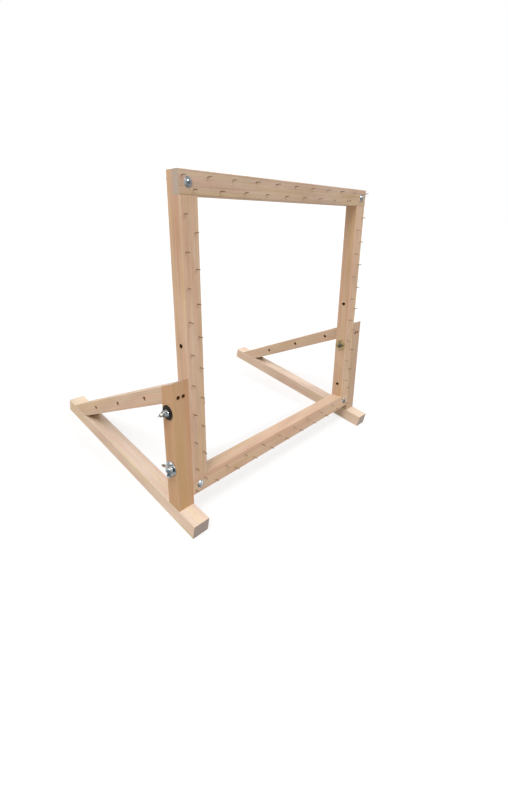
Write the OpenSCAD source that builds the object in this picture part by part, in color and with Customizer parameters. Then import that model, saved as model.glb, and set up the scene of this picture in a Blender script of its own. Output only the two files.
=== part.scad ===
// Cloth-stretching frame with rows of gripping nails, bolted between two side stands.
// X runs to the right, Y to the back, Z up. The origin is the centre of the footprint on the ground.

/* [Bars] */
// Width of every bar: the frame's faces and the stands' thickness across X
bar_w = 38; // [30:1:50]
// Thickness of every bar, front to back on the frame
bar_t = 32; // [24:1:42]
// Rounding of the bars' long edges
edge_r = 1.5; // [0.5:0.5:3]

/* [Frame] */
// Outer width of the frame
frame_w = 600; // [450:10:800]
// Outer height of the frame
frame_h = 600; // [500:10:800]
// Gap between the feet and the frame's lower edge, along the posts
frame_gap = 18; // [5:1:40]

/* [Stands] */
// Lean of the frame and the uprights to the back, in degrees
lean = 12; // [5:1:16]
// Length of a foot
foot_len = 520; // [480:10:640]
// Length of the foot in front of the upright
foot_front = 47; // [30:1:80]
// Front height of an upright above its foot, along the upright
upright_h = 271; // [255:1:300]
// Slope of the braces below the horizontal, in degrees
brace_slope = 34.5; // [33:0.5:38]

/* [Bolt holes] */
// Diameter of the holes for the stand bolts
hole_d = 8.5; // [8.4:0.1:10]
// Height of the lowest stand hole above the foot, along the upright
hole_low = 93; // [75:1:110]
// Distance between neighbouring holes in the posts and the braces
hole_pitch = 118; // [100:1:125]
// Distance of a brace's first hole from the upright, along the brace
brace_hole_start = 65; // [40:1:80]
// Number of holes in a brace
brace_holes = 3; // [2:1:3]

/* [Nails] */
// Diameter of a nail
nail_d = 2; // [1.4:0.2:3]
// Length of a nail
nail_len = 30; // [22:1:36]
// Length of a nail that stands out of the wood
nail_out = 12; // [8:1:16]
// Wished distance between the nails of one row
nail_pitch = 60; // [45:5:80]
// Distance of each row from the nearer edge of the bar
nail_edge = 9; // [7:0.5:10]
// Distance of the end nails from the rail's ends
nail_end = 7; // [5:0.5:8]

/* [Corner bolts] */
// Diameter of the corner bolts
corner_d = 6; // [5:0.5:7]
// Play between a corner bolt and the wood, on the radius
corner_play = 0.25; // [0.1:0.05:0.5]
// Length of the corner bolts under the head
corner_len = 45; // [43:1:55]
// Diameter of the corner bolts' domed heads
corner_head_d = 16.5; // [13:0.5:20]
// Height of the corner bolts' domed heads
corner_head_h = 3.9; // [2.5:0.1:5]
// Outer diameter of the corner washers
corner_washer_d = 14; // [12:0.5:20]
// Thickness of the corner washers
corner_washer_t = 1.6; // [0.8:0.2:2]
// Span of the corner wing nuts from wing tip to wing tip
corner_span = 26; // [24:1:34]

/* [Stand bolts] */
// Diameter of the stand bolts and the wing screws
stand_d = 8; // [6:0.5:8]
// Length of the upper stand bolts that stands out of the wing nuts
bolt_out = 6.2; // [1:0.2:12]
// Width across the flats of the upper stand bolts' heads
stand_head_w = 13; // [11:0.5:15]
// Height of the upper stand bolts' heads
stand_head_h = 5.3; // [4:0.1:7]
// Outer diameter of the washers on the inner side of the posts
inner_washer_d = 30; // [20:1:30]
// Thickness of the washers on the inner side of the posts
inner_washer_t = 1.6; // [1:0.2:3]
// Diameter of the black discs on the outer side of the uprights
disc_d = 29; // [22:1:31]
// Thickness of the black discs
disc_t = 2; // [1:0.5:5]
// Span of the stand wing nuts and wing screws from wing tip to wing tip
stand_span = 30; // [24:1:40]
// Length of the lower wing screws below their wings
screw_len = 64; // [55:1:70]
// Outer diameter of the washers under the lower wing screws
lower_washer_d = 30; // [18:1:30]
// Thickness of the washers under the lower wing screws
lower_washer_t = 1.8; // [1:0.2:3]
// Outer diameter of the threaded inserts in the posts
insert_d = 12; // [10:0.5:14]
// Length of the threaded inserts
insert_len = 20; // [12:1:25]
// Running play between a thread and its nut, on the radius
thread_play = 0.05; // [0.02:0.01:0.08]

/* [Wood screws] */
// Diameter of the wood screws
wood_screw_d = 4; // [3.5:0.5:5]
// Diameter of the wood screws' heads and of the deep holes over them
wood_head_d = 8; // [7:0.5:10]
// Height of the wood screws' heads
wood_head_h = 2.5; // [2:0.5:4]
// Depth of the holes that sink the heads below the wood
wood_sink = 8; // [5:1:10]
// Length of the screws from the upright into the brace
brace_screw_len = 60; // [50:1:66]
// Length of the screws from a foot into the upright
foot_screw_len = 50; // [40:1:60]
// Length of the screws from a foot into the brace
brace_foot_screw_len = 38; // [30:1:40]
// Distance between the two screws of a pair
screw_gap = 11.5; // [11:0.5:18]

/* [Hidden] */
$fn = 64;

beech = [0.80, 0.66, 0.52];
steel = [0.75, 0.76, 0.78];
dark_steel = [0.35, 0.33, 0.30];
yellow_steel = [0.66, 0.60, 0.40];

half_w = frame_w / 2;
lap_t = bar_t / 2;
// Where the uprights' front faces meet the tops of the feet
front_y = foot_front - foot_len / 2;
// Centre of the stands across X, and the faces on both sides of it
stand_x = half_w + bar_w / 2;
stand_out = half_w + bar_w;
post_in = half_w - bar_w;
hole_y = bar_t / 2;
// Height of a wing nut's or wing screw's boss for each mm of its bolt's diameter
boss_ratio = 1.15;
// Length of the upper stand bolts under the head
stand_len = inner_washer_t + 2 * bar_w + disc_t + boss_ratio * stand_d + bolt_out;
// Angle between the brace and the normal of the upright, and where the brace meets the upright
brace_turn = brace_slope - lean;
upright_back_h = upright_h - bar_t * tan(brace_turn);
brace_mid_h = upright_back_h - bar_t / cos(brace_turn) / 2;
hole_high = hole_low + hole_pitch;
hole_free = hole_low + 2 * hole_pitch;
frame_top = frame_gap + frame_h;

// A point of the leaning frame, given as depth behind its front face and height along the posts
function leaned(y, h) = [front_y + y * cos(lean) + h * sin(lean), bar_t + h * cos(lean) - y * sin(lean)];
// Centre line of the brace, at a distance from the upright
brace_root = leaned(bar_t, brace_mid_h);
function on_brace(s) = [brace_root[0] + s * cos(brace_slope), brace_root[1] - s * sin(brace_slope)];
// Where the brace's centre line meets the top of the foot
brace_len = (brace_root[1] - bar_t) / sin(brace_slope);

// The posts' rows are marked out from the lower end, up to the rails' end nails
post_row = frame_h - nail_end;
// Even steps that come closest to the wished nail distance
nail_steps = round(frame_w / nail_pitch);
post_steps = round(post_row / nail_pitch);
function outer_row(len, n) = [for (k = [1:n - 1]) k * len / n];
function inner_row(len, n) = [for (k = [0:n - 1]) (k + 0.5) * len / n];
function clear_of_laps(row, len) = [for (s = row) if (s > bar_w + nail_d && s < len - bar_w - nail_d) s];

// Puts what is drawn upright, with its front face at y = 0, into the lean of the frame
module leaning() {
    translate([0, front_y, bar_t]) rotate([-lean, 0, 0]) children();
}

// Draws its children on the right, and mirrored on the left
module both_sides() {
    children();
    mirror([1, 0, 0]) children();
}

// A bar along +Z with rounded long edges, from the corner at the origin
module bar(len) {
    linear_extrude(len) {
        translate([edge_r, 0]) square([bar_w - 2 * edge_r, bar_t]);
        translate([0, edge_r]) square([bar_w, bar_t - 2 * edge_r]);
        for (x = [edge_r, bar_w - edge_r], y = [edge_r, bar_t - edge_r]) translate([x, y]) circle(edge_r);
    }
}

// A cylinder along X, centred on its own length
module x_rod(d, len) {
    rotate([0, 90, 0]) cylinder(d = d, h = len, center = true);
}

// Holes

// A hole through a bar's thickness along +Z for a wood screw, with its head sunk from z = 0
module screw_hole() {
    cylinder(d = wood_screw_d, h = bar_t + 1);
    translate([0, 0, -1]) cylinder(d = wood_head_d, h = wood_sink + 1);
    translate([0, 0, wood_sink]) cylinder(d1 = wood_head_d, d2 = wood_screw_d, h = wood_head_h);
}

module post_holes() {
    for (h = [hole_low, hole_high, hole_free]) translate([stand_x - bar_w, hole_y, h]) x_rod(hole_d, bar_w + 2);
    translate([half_w - insert_len, hole_y, hole_low]) rotate([0, 90, 0]) cylinder(d = insert_d, h = insert_len + 1);
}

module upright_holes() {
    for (h = [hole_low, hole_high]) translate([stand_x, hole_y, h]) x_rod(hole_d, bar_w + 2);
    for (s = [-1, 1]) translate([stand_x + s * screw_gap / 2, 0, brace_mid_h]) rotate([-90, 0, 0]) screw_hole();
}

module corner_hole(x, h) {
    translate([x, -1, h]) rotate([-90, 0, 0]) cylinder(r = corner_d / 2 + corner_play, h = bar_t + 2);
}

// Frame

// A rail drawn leaning, at the height of its lower edge: the front half runs on over the posts
module rail(h) {
    leaning() difference() {
        translate([-half_w, 0, h + bar_w]) rotate([0, 90, 0]) bar(frame_w);
        for (s = [-1, 1]) {
            translate([s * stand_x - s * bar_w, lap_t + bar_t, h + bar_w / 2])
                cube([bar_w, 2 * bar_t, bar_w + 2], center = true);
            corner_hole(s * (half_w - bar_w / 2), h + bar_w / 2);
        }
    }
}

module top_rail() {
    color(beech) rail(frame_top - bar_w);
}

module bottom_rail() {
    color(beech) rail(frame_gap);
}

// The right post: its back half runs on behind the rails
module post() {
    leaning() difference() {
        translate([post_in, 0, frame_gap]) bar(frame_h);
        for (h = [frame_gap, frame_top - bar_w]) {
            translate([post_in - 1, lap_t - 2 * bar_t, h]) cube([bar_w + 2, 2 * bar_t, bar_w]);
            corner_hole(half_w - bar_w / 2, h + bar_w / 2);
        }
        post_holes();
    }
}

module left_post() {
    color(beech) mirror([1, 0, 0]) post();
}

module right_post() {
    color(beech) post();
}

// One nail, its axis along Y, standing out of the front face
module nail(x, h) {
    translate([x, -nail_out, h]) rotate([-90, 0, 0]) cylinder(d = nail_d, h = nail_len, $fn = 16);
}

// Nails of a rail, with the outer row near the frame's outer edge
module rail_nails(h_outer, h_inner) {
    leaning() {
        for (s = concat([nail_end, frame_w - nail_end], outer_row(frame_w, nail_steps))) nail(s - half_w, h_outer);
        for (s = inner_row(frame_w, nail_steps)) nail(s - half_w, h_inner);
    }
}

module top_rail_nails() {
    color(steel) rail_nails(frame_top - nail_edge, frame_top - bar_w + nail_edge);
}

module bottom_rail_nails() {
    color(steel) rail_nails(frame_gap + nail_edge, frame_gap + bar_w - nail_edge);
}

module post_nails() {
    leaning() {
        for (s = clear_of_laps(outer_row(post_row, post_steps), frame_h))
            nail(half_w - nail_edge, frame_gap + s);
        for (s = clear_of_laps(inner_row(post_row, post_steps), frame_h))
            nail(post_in + nail_edge, frame_gap + s);
    }
}

module left_post_nails() {
    color(steel) mirror([1, 0, 0]) post_nails();
}

module right_post_nails() {
    color(steel) post_nails();
}

// Fasteners

// A wing nut or the head of a wing screw, standing on z = 0 with its axis along Z
module wings(span, bolt_d, hollow) {
    base_r = bolt_d;
    boss_h = bolt_d * boss_ratio;
    wing_t = bolt_d * 0.32;
    ear_r = span * 0.145;
    ear_x = span / 2 - ear_r;
    ear_z = span * 0.36;
    difference() {
        union() {
            cylinder(r1 = base_r, r2 = base_r * 0.78, h = boss_h);
            for (turn = [0, 180]) rotate([90, 0, turn]) translate([0, 0, -wing_t / 2]) linear_extrude(wing_t) {
                translate([ear_x, ear_z]) circle(ear_r);
                polygon([[0, boss_h * 0.15], [base_r * 0.95, boss_h * 0.15],
                    [ear_x + ear_r * 0.83, ear_z - ear_r * 0.56],
                    [ear_x - ear_r * 0.66, ear_z + ear_r * 0.75], [0, boss_h]]);
            }
        }
        if (hollow) translate([0, 0, -1]) cylinder(r = bolt_d / 2 + thread_play, h = span);
    }
}

// The corners' centres, as side and height
corners = [[-1, frame_top - bar_w / 2], [1, frame_top - bar_w / 2],
    [-1, frame_gap + bar_w / 2], [1, frame_gap + bar_w / 2]];

module at_corner(c) {
    leaning() translate([c[0] * (half_w - bar_w / 2), 0, c[1]]) children();
}

// Domed heads on the front, where the cloth slides over them
module corner_bolts() {
    dome_r = (pow(corner_head_d / 2, 2) + pow(corner_head_h, 2)) / (2 * corner_head_h);
    color(steel) for (c = corners) at_corner(c) {
        rotate([-90, 0, 0]) cylinder(d = corner_d, h = corner_len);
        rotate([90, 0, 0]) intersection() {
            translate([0, 0, corner_head_h - dome_r]) sphere(dome_r);
            cylinder(d = corner_head_d, h = corner_head_h);
        }
    }
}

module ring(outer_d, inner_d, t) {
    difference() {
        cylinder(d = outer_d, h = t);
        translate([0, 0, -1]) cylinder(d = inner_d, h = t + 2);
    }
}

module corner_washers() {
    color(steel) for (c = corners) at_corner(c) translate([0, bar_t, 0])
        rotate([-90, 0, 0]) ring(corner_washer_d, corner_d + 2 * corner_play, corner_washer_t);
}

module corner_wing_nut(c, turn) {
    color(steel) at_corner(c)
        translate([0, bar_t + corner_washer_t, 0]) rotate([-90, turn, 0]) wings(corner_span, corner_d, true);
}

module top_left_wing_nut() {
    corner_wing_nut(corners[0], 40);
}

module top_right_wing_nut() {
    corner_wing_nut(corners[1], 70);
}

module bottom_left_wing_nut() {
    corner_wing_nut(corners[2], 5);
}

module bottom_right_wing_nut() {
    corner_wing_nut(corners[3], 25);
}

// Puts children at a stand hole, with +Z pointing away from the frame on the right side
module at_stand_hole(x, h) {
    leaning() translate([x, hole_y, h]) rotate([0, 90, 0]) children();
}

module upper_bolts() {
    color(steel) both_sides() at_stand_hole(post_in - inner_washer_t, hole_high) {
        cylinder(d = stand_d, h = stand_len);
        translate([0, 0, -stand_head_h]) cylinder(d = stand_head_w / cos(30), h = stand_head_h, $fn = 6);
    }
}

module inner_washers() {
    color(yellow_steel) both_sides() at_stand_hole(post_in - inner_washer_t, hole_high)
        ring(inner_washer_d, hole_d, inner_washer_t);
}

module black_discs() {
    color("black") both_sides() at_stand_hole(stand_out, hole_high) ring(disc_d, hole_d, disc_t);
}

module lower_washers() {
    color(steel) both_sides() at_stand_hole(stand_out, hole_low) ring(lower_washer_d, hole_d, lower_washer_t);
}

module threaded_inserts() {
    color(yellow_steel) both_sides() at_stand_hole(half_w - insert_len, hole_low)
        ring(insert_d, stand_d + 2 * thread_play, insert_len);
}

module upper_wing_nut(turn) {
    color(steel) at_stand_hole(stand_out + disc_t, hole_high) rotate(turn) wings(stand_span, stand_d, true);
}

module left_upper_wing_nut() {
    mirror([1, 0, 0]) upper_wing_nut(57);
}

module right_upper_wing_nut() {
    upper_wing_nut(-35);
}

module lower_wing_screw(turn) {
    color(steel) at_stand_hole(stand_out + lower_washer_t, hole_low) rotate(turn) {
        wings(stand_span, stand_d, false);
        translate([0, 0, -screw_len]) cylinder(d = stand_d, h = screw_len + 1);
    }
}

module left_lower_wing_screw() {
    mirror([1, 0, 0]) lower_wing_screw(-50);
}

module right_lower_wing_screw() {
    lower_wing_screw(-20);
}

// Stands

// A plate across one stand bar's width, from an outline in Y and Z
module stand_plate(outline) {
    translate([half_w, 0, 0]) rotate([90, 0, 90]) linear_extrude(bar_w) polygon(outline);
}

// A wood screw along +Z, its head's flat face down at z = 0
module wood_screw(len) {
    cylinder(d1 = wood_head_d, d2 = wood_screw_d, h = wood_head_h);
    cylinder(d = wood_screw_d, h = len - wood_screw_d, $fn = 32);
    translate([0, 0, len - wood_screw_d]) cylinder(d1 = wood_screw_d, d2 = 0.5, h = wood_screw_d, $fn = 32);
}

// Places of the foot's screws along Y: under the upright and under the brace
upright_foot_y = front_y + bar_t / cos(lean) / 2;
brace_foot_y = on_brace(brace_len)[0];
// Each foot screw as its place across X and along Y, and its length
foot_screw_list = [for (y = [[upright_foot_y, foot_screw_len], [brace_foot_y, brace_foot_screw_len]], s = [-1, 1])
    [stand_x + s * screw_gap / 2, y[0], y[1]]];

module foot() {
    difference() {
        translate([half_w, -foot_len / 2, bar_t]) rotate([-90, 0, 0]) bar(foot_len);
        for (p = foot_screw_list) translate([p[0], p[1], 0]) screw_hole();
    }
}

module left_foot() {
    color(beech) mirror([1, 0, 0]) foot();
}

module right_foot() {
    color(beech) foot();
}

module upright() {
    difference() {
        stand_plate([leaned(0, 0), [front_y + bar_t / cos(lean), bar_t],
            leaned(bar_t, upright_back_h), leaned(0, upright_h)]);
        leaning() upright_holes();
    }
}

module left_upright() {
    color(beech) mirror([1, 0, 0]) upright();
}

module right_upright() {
    color(beech) upright();
}

module brace() {
    run = bar_t / sin(brace_slope) / 2;
    difference() {
        stand_plate([leaned(bar_t, upright_back_h), leaned(bar_t, 2 * brace_mid_h - upright_back_h),
            [brace_foot_y - run, bar_t], [brace_foot_y + run, bar_t]]);
        for (k = [0:brace_holes - 1]) {
            p = on_brace(brace_hole_start + k * hole_pitch);
            translate([stand_x, p[0], p[1]]) x_rod(hole_d, bar_w + 2);
        }
    }
}

module left_brace() {
    color(beech) mirror([1, 0, 0]) brace();
}

module right_brace() {
    color(beech) brace();
}

module brace_screws() {
    color(dark_steel) both_sides() leaning() for (s = [-1, 1])
        translate([stand_x + s * screw_gap / 2, wood_sink, brace_mid_h])
            rotate([-90, 0, 0]) wood_screw(brace_screw_len);
}

module foot_screws() {
    color(dark_steel) both_sides() for (p = foot_screw_list)
        translate([p[0], p[1], wood_sink]) wood_screw(p[2]);
}

top_rail();
bottom_rail();
left_post();
right_post();
top_rail_nails();
bottom_rail_nails();
left_post_nails();
right_post_nails();
corner_bolts();
corner_washers();
top_left_wing_nut();
top_right_wing_nut();
bottom_left_wing_nut();
bottom_right_wing_nut();
left_foot();
right_foot();
left_upright();
right_upright();
left_brace();
right_brace();
brace_screws();
foot_screws();
upper_bolts();
inner_washers();
black_discs();
left_upper_wing_nut();
right_upper_wing_nut();
left_lower_wing_screw();
right_lower_wing_screw();
lower_washers();
threaded_inserts();
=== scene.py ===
"""Looks of the cloth-stretching frame: beech bars, gripping nails and zinc-plated fasteners."""

import math

import bmesh
import bpy
import numpy as np
from mathutils import Matrix, Vector


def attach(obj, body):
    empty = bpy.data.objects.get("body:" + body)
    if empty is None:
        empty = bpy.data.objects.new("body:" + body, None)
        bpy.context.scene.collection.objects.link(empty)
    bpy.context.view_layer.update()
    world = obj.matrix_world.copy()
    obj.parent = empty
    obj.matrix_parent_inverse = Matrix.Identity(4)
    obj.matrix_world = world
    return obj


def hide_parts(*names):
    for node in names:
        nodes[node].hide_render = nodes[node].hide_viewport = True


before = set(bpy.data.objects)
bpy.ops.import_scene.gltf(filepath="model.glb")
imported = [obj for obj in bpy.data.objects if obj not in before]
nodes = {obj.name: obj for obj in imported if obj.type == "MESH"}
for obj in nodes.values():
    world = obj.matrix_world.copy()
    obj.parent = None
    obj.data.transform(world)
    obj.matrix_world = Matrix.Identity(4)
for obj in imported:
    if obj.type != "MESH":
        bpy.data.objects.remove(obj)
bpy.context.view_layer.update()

# Sizes of the part in millimetres, as its source has them
BAR_W = 38
BAR_T = 32
FRAME_W = 600
FRAME_H = 600
FRAME_GAP = 18
FOOT_LEN = 520
FOOT_FRONT = 47
UPRIGHT_H = 271
BRACE_SLOPE = math.radians(34.5)
LEAN = math.radians(12)
FRAME_TOP = FRAME_GAP + FRAME_H
FRONT_Y = FOOT_FRONT - FOOT_LEN / 2
STAND_X = FRAME_W / 2 + BAR_W / 2
STAND_OUT = FRAME_W / 2 + BAR_W
POST_IN = FRAME_W / 2 - BAR_W
POST_X = FRAME_W / 2 - BAR_W / 2
HOLE_D = 8.5
HOLE_PITCH = 118
HOLE_LOW = 93
HOLE_HIGH = HOLE_LOW + HOLE_PITCH
HOLE_FREE = HOLE_HIGH + HOLE_PITCH
BRACE_HOLE_START = 65
BRACE_HOLES = 3
NAIL_D = 2
NAIL_OUT = 12
NAIL_LEN = 30
NAIL_STEP = 60
POST_NAIL_STEP = 59.3
NAIL_EDGE = 9
NAIL_END = 7
CORNER_D = 6
CORNER_PLAY = 0.25
CORNER_LEN = 45
CORNER_HEAD_D = 16.5
CORNER_HEAD_H = 3.9
CORNER_WASHER_D = 14
CORNER_WASHER_T = 1.6
CORNER_SPAN = 26
STAND_D = 8
STAND_LEN = 95
STAND_HEAD_W = 13
STAND_HEAD_H = 5.3
INNER_WASHER_D = 30
INNER_WASHER_T = 1.6
DISC_D = 29
DISC_T = 2
STAND_SPAN = 30
SCREW_LEN = 64
LOWER_WASHER_D = 30
LOWER_WASHER_T = 1.8
WOOD_SCREW_D = 4
WOOD_HEAD_D = 8
WOOD_HEAD_H = 2.5
WOOD_SINK = 8
SCREW_GAP = 11.5
BRACE_SCREW_LEN = 60
FOOT_SCREW_LEN = 50
BRACE_FOOT_SCREW_LEN = 38
MM = 0.001

# Sizes in millimetres that only the looks have
CORNER_PITCH = 1.0
CORNER_THREAD_FROM = 24
STAND_PITCH = 1.25
STAND_THREAD_FROM = 50
SCREW_THREAD_FROM = 4
RING_MM = 3.4
WORN_MM = 2.2
# What turns stands this far off its washer, so that it turns freely; the eye doesn't see it
SEAT_GAP = 0.03
# The wood's pattern is laid out from these places, near the middles of the uprights and braces
UPRIGHT_MID = 140
BRACE_MID = 180

# Proportions of a cast wing nut, for each mm of its bolt or of its span over the wings
BOSS_HIGH = 1.15
BOSS_TOP_R = 0.78
WING_THICK = 0.32
EAR_R = 0.145
EAR_HIGH = 0.36

BODY = "frame_and_stands"


def leaned(x, y, h):
    """A point of the leaning frame in mm: x across, y behind its front face, h up along the posts."""
    c, s = math.cos(LEAN), math.sin(LEAN)
    return np.array([x, FRONT_Y + y * c + h * s, BAR_T + h * c - y * s], float)


# Directions of the leaning frame: across, from its front face to its back, and up along the posts
ACROSS = np.array([1.0, 0, 0])
BACKWARD = np.array([0, math.cos(LEAN), -math.sin(LEAN)])
UPWARD = np.array([0, math.sin(LEAN), math.cos(LEAN)])
FLOORWARD = np.array([0, 0, -1.0])

# The braces run down and back from the middle of their upper end
BRACE_WAY = np.array([0, math.cos(BRACE_SLOPE), -math.sin(BRACE_SLOPE)])
BRACE_TURN = BRACE_SLOPE - LEAN
BRACE_MID_H = UPRIGHT_H - BAR_T * math.tan(BRACE_TURN) - BAR_T / math.cos(BRACE_TURN) / 2
BRACE_ROOT = leaned(0, BAR_T, BRACE_MID_H)
BRACE_FOOT = BRACE_ROOT + BRACE_WAY * (BRACE_ROOT[2] - BAR_T) / math.sin(BRACE_SLOPE)
UPRIGHT_FOOT_Y = FRONT_Y + BAR_T / math.cos(LEAN) / 2


# Camera


def place_camera():
    """Stands the camera where the photograph was taken from, solved from the corners, nails and feet."""
    place = -0.7185, -0.6282, 0.6643
    turn, down, roll = (math.radians(a) for a in (49.548, 26.889, 9.371))
    photo_w_px, photo_h_px = 508, 800
    focal_px, middle_x_px, middle_y_px = 398.463, 239.672, 361.966
    forward = Vector((math.sin(turn) * math.cos(down), math.cos(turn) * math.cos(down), -math.sin(down)))
    level = forward.cross(Vector((0, 0, 1))).normalized()
    above = level.cross(forward)
    right = level * math.cos(roll) + above * math.sin(roll)
    up = above * math.cos(roll) - level * math.sin(roll)
    data = bpy.data.cameras.new("camera")
    data.sensor_width = 36
    data.lens = data.sensor_width * focal_px / photo_h_px
    data.shift_x = (photo_w_px / 2 - middle_x_px) / photo_h_px
    data.shift_y = (middle_y_px - photo_h_px / 2) / photo_h_px
    data.clip_start = 0.01
    data.clip_end = 60
    camera = bpy.data.objects.new("camera", data)
    bpy.context.scene.collection.objects.link(camera)
    axes = Matrix((right, up, -forward)).transposed()
    camera.matrix_world = Matrix.Translation(place) @ axes.to_4x4()
    bpy.context.scene.camera = camera


# Materials


def colour(code):
    """Linear RGBA of an sRGB hex colour."""
    channels = [int(code[i:i + 2], 16) / 255 for i in (1, 3, 5)]
    return [c / 12.92 if c < 0.04045 else ((c + 0.055) / 1.055) ** 2.4 for c in channels] + [1.0]


def add(tree, kind, inputs=None, stops=(), **settings):
    """Adds a node of a kind with its settings. Each input is a value, or another node's output to link, and
    stops are the (place, hex colour) pairs of a colour ramp."""
    node = tree.nodes.new("ShaderNode" + kind)
    for name, value in settings.items():
        setattr(node, name, value)
    for name, value in (inputs or {}).items():
        if isinstance(value, bpy.types.NodeSocket):
            tree.links.new(value, node.inputs[name])
        else:
            node.inputs[name].default_value = value
    for i, (place, code) in enumerate(stops):
        if i >= len(node.color_ramp.elements):
            node.color_ramp.elements.new(place)
        node.color_ramp.elements[i].position = place
        node.color_ramp.elements[i].color = colour(code)
    return node


def new_finish(name):
    """An empty material with its tree and its Principled shader."""
    material = bpy.data.materials.new(name)
    material.use_nodes = True
    return material, material.node_tree, material.node_tree.nodes["Principled BSDF"]


def year_rings(tree, own, shifted, pith):
    """The rings of a trunk as 0 to 1 over each year: the distance from a pith at a place (x, y) beside the
    bar, in steps of RING_MM. The rings drift by some millimetres over a third of a metre."""
    slow = add(tree, "VectorMath", {0: shifted, 1: (1 / 60, 1 / 60, 1 / 330)}, operation="MULTIPLY")
    drift = add(tree, "TexNoise", {"Vector": slow.outputs["Vector"], "Scale": 1.0, "Detail": 2.0})
    bend = add(tree, "VectorMath", {0: drift.outputs["Color"], 1: (-0.5, -0.5, -0.5)}, operation="ADD")
    bent = add(tree, "VectorMath", {0: bend.outputs["Vector"], 1: (12, 12, 0), 2: own},
               operation="MULTIPLY_ADD")
    round_pith = add(tree, "VectorMath", {0: bent.outputs["Vector"], 1: (*pith, 0)}, operation="ADD")
    # This wave texture's rings have a period of 0.314 / Scale
    return add(tree, "TexWave", {"Vector": round_pith.outputs["Vector"], "Scale": 0.314 / RING_MM,
                                 "Distortion": 0.9, "Detail": 2.0, "Detail Scale": 0.35},
               wave_type="RINGS", rings_direction="Z", wave_profile="SAW").outputs["Fac"]


def fleck_marks(tree, shifted):
    """The short dark flecks of beech, 1 at their core. Cells of 1.5 by 9 mm hold one each, some of them
    faint. Flecks are 0.4 by 3 mm in the wood, and drawn 0.9 by 6 mm so that they show."""
    cells = add(tree, "VectorMath", {0: shifted, 1: (1 / 1.5, 1 / 1.5, 1 / 9)}, operation="MULTIPLY")
    fleck = add(tree, "TexVoronoi", {"Vector": cells.outputs["Vector"], "Scale": 1.0}).outputs
    core = add(tree, "MapRange", {"Value": fleck["Distance"], "From Min": 0.42, "From Max": 0.12},
               interpolation_type="SMOOTHSTEP").outputs["Result"]
    chance = add(tree, "SeparateColor", {"Color": fleck["Color"]}).outputs["Red"]
    some = add(tree, "MapRange", {"Value": chance, "From Min": 0.45, "From Max": 0.95}).outputs["Result"]
    return add(tree, "Math", {0: core, 1: some}, operation="MULTIPLY").outputs["Value"]


def face_tone(tree, shifted, streaks, rings, wood):
    """Colour of the planed faces: the wood's tones from dark to pale by the fibre streaks and by patches of
    a hand's width, tinted by longer bands that are pinker and yellower, and darkened by each ring's late
    wood."""
    broad = add(tree, "VectorMath", {0: shifted, 1: (1 / 34, 1 / 34, 1 / 120)}, operation="MULTIPLY")
    patches = add(tree, "TexNoise", {"Vector": broad.outputs["Vector"], "Scale": 1.0, "Detail": 1.5})
    shaded = add(tree, "Math", {0: patches.outputs["Fac"], 1: 0.45}, operation="MULTIPLY")
    blend = add(tree, "Math", {0: streaks, 1: 0.55, 2: shaded.outputs["Value"]}, operation="MULTIPLY_ADD")
    fibres = add(tree, "ValToRGB", {"Fac": blend.outputs["Value"]},
                 [(0.3, wood[0]), (0.5, wood[1]), (0.68, wood[2])])
    bands = add(tree, "VectorMath", {0: shifted, 1: (1 / 16, 1 / 16, 1 / 260)}, operation="MULTIPLY")
    hue = add(tree, "TexNoise", {"Vector": bands.outputs["Vector"], "Scale": 1.0, "Detail": 1.5})
    tint = add(tree, "ValToRGB", {"Fac": hue.outputs["Fac"]},
               [(0.36, "#fff6f3"), (0.5, "#ffffff"), (0.64, "#fffdee")])
    tinted = add(tree, "Mix", {"Factor": 1.0, "A": fibres.outputs["Color"], "B": tint.outputs["Color"]},
                 data_type="RGBA", blend_type="MULTIPLY")
    late = add(tree, "ValToRGB", {"Fac": rings},
               [(0.0, "#ffffff"), (0.7, "#f4f4f4"), (0.93, "#cccccc"), (1.0, "#ffffff")])
    return add(tree, "Mix", {"Factor": 0.24, "A": tinted.outputs["Result"], "B": late.outputs["Color"]},
               data_type="RGBA", blend_type="MULTIPLY").outputs["Result"]


def end_tone(tree, own, rings, sawn):
    """Colour of the sawn ends: tones from dark to pale by pores of under a millimetre, darkened by the year
    rings, which the saw cuts across."""
    pores = add(tree, "TexNoise", {"Vector": own, "Scale": 1.3, "Detail": 3.0, "Roughness": 0.7})
    ends = add(tree, "ValToRGB", {"Fac": pores.outputs["Fac"]},
               [(0.35, sawn[0]), (0.5, sawn[1]), (0.65, sawn[2])])
    late = add(tree, "ValToRGB", {"Fac": rings},
               [(0.0, "#ffffff"), (0.7, "#ececec"), (0.95, "#a8a8a8"), (1.0, "#ffffff")])
    return add(tree, "Mix", {"Factor": 0.6, "A": ends.outputs["Color"], "B": late.outputs["Color"]},
               data_type="RGBA", blend_type="MULTIPLY").outputs["Result"]


def edge_wear(tree, own):
    """1 along the last half millimetre of the long edges, falling to 0 at WORN_MM from them: the nearness
    to the bar's sides times the nearness to its faces. Hands and sandpaper leave the wood smoother and
    paler there."""
    apart = add(tree, "SeparateXYZ", {"Vector": own}).outputs
    near = []
    for axis, size in (("X", BAR_W), ("Y", BAR_T)):
        out = add(tree, "Math", {0: apart[axis]}, operation="ABSOLUTE").outputs["Value"]
        near.append(add(tree, "MapRange", {"Value": out, "From Min": size / 2 - WORN_MM,
                                           "From Max": size / 2 - 0.5}).outputs["Result"])
    return add(tree, "Math", {0: near[0], 1: near[1]}, operation="MULTIPLY").outputs["Value"]


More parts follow.
